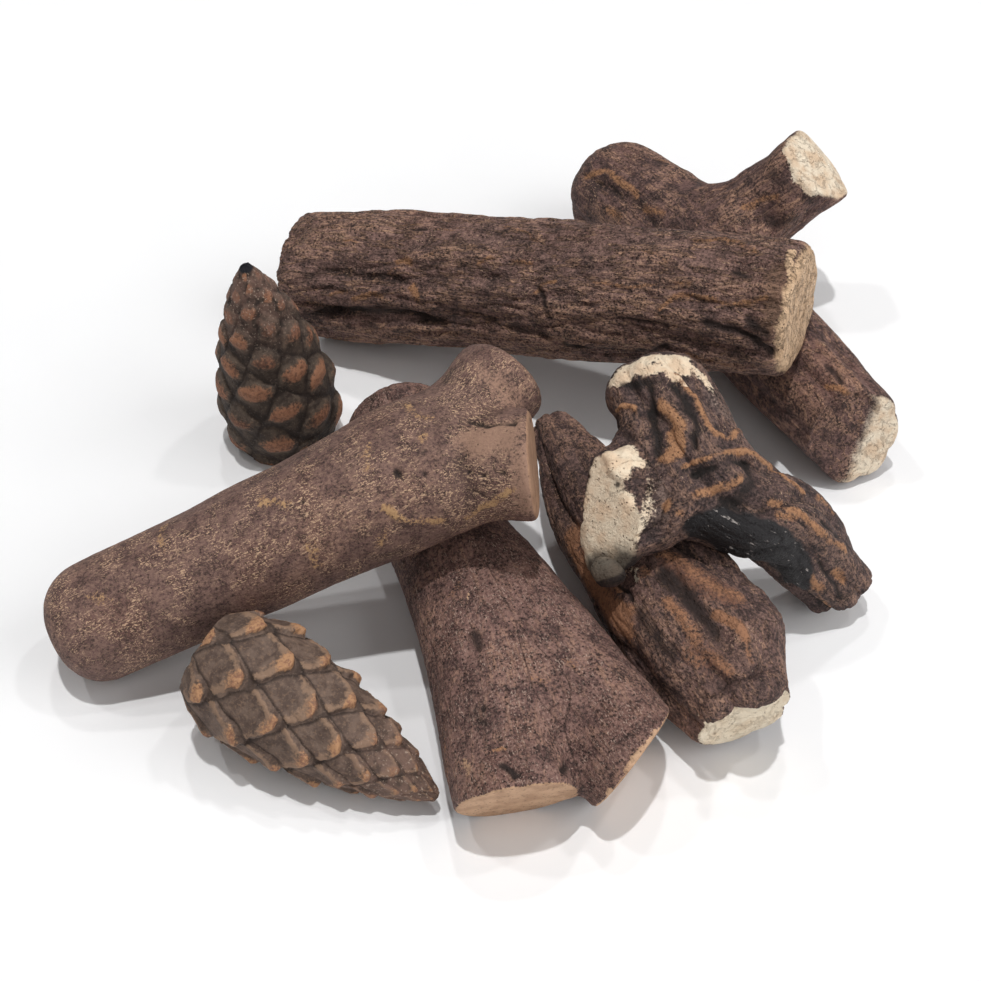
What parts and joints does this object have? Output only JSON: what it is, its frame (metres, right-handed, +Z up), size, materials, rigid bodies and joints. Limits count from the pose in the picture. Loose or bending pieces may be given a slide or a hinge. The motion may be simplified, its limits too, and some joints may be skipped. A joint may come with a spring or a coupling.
{
  "type": "gas log set",
  "caption": "Ceramic gas fire log set: forked and straight cast logs stacked by hand, with pine cones beside them.",
  "frame": {"origin": "on the floor plane, below the middle of the whole set's box", "axes": "+Z up; the set is seen from its front, looking along +Y; +X to the right of that view"},
  "size_m": [0.3782, 0.4334, 0.1144],
  "materials": {
    "furrowed_bark": "matt painted bark, purple-brown with tan ridges, cream cut faces",
    "fissured_bark": "matt painted bark with deep dark fissures and a tan cut face",
    "fibrous_bark": "matt fine fibrous bark with a tan speckle and tan cut faces",
    "smooth_bark": "matt smooth bark, purple-brown with a fine tan speckle",
    "ridged_bark": "matt ridged bark with orange-brown ridges and a cream cut face",
    "sooty_bark": "matt ridged bark, orange ridges, sooty black underside, cream cut faces",
    "standing_cone_scales": "matt grey-brown scales with orange-tan lips",
    "lying_cone_scales": "matt grey-brown scales with orange-tan lips"
  },
  "bodies": {
    "rear_forked_log": {"rear_forked_log": "furrowed_bark"},
    "rear_log": {"rear_log": "fissured_bark"},
    "front_forked_log": {"front_forked_log": "fibrous_bark"},
    "left_forked_log": {"left_forked_log": "smooth_bark"},
    "middle_log": {"middle_log": "ridged_bark"},
    "right_forked_log": {"right_forked_log": "sooty_bark"},
    "standing_cone": {"standing_cone": "standing_cone_scales"},
    "lying_cone": {"lying_cone": "lying_cone_scales"}
  },
  "joints": [
    {"name": "rear_log_lift", "type": "slide", "parent": "rear_forked_log", "child": "rear_log", "axis": [0, 0, 1], "range_m": [0, 0.15]},
    {"name": "front_forked_log_lift", "type": "slide", "parent": "rear_forked_log", "child": "front_forked_log", "axis": [0, 0, 1], "range_m": [0, 0.15]},
    {"name": "left_forked_log_lift", "type": "slide", "parent": "front_forked_log", "child": "left_forked_log", "axis": [0, 0, 1], "range_m": [0, 0.15]},
    {"name": "middle_log_lift", "type": "slide", "parent": "rear_forked_log", "child": "middle_log", "axis": [0, 0, 1], "range_m": [0, 0.15]},
    {"name": "right_forked_log_lift", "type": "slide", "parent": "middle_log", "child": "right_forked_log", "axis": [0, 0, 1], "range_m": [0, 0.15]},
    {"name": "standing_cone_lift", "type": "slide", "parent": "rear_forked_log", "child": "standing_cone", "axis": [0, 0, 1], "range_m": [0, 0.15]},
    {"name": "lying_cone_lift", "type": "slide", "parent": "rear_forked_log", "child": "lying_cone", "axis": [0, 0, 1], "range_m": [0, 0.15]}
  ]
}
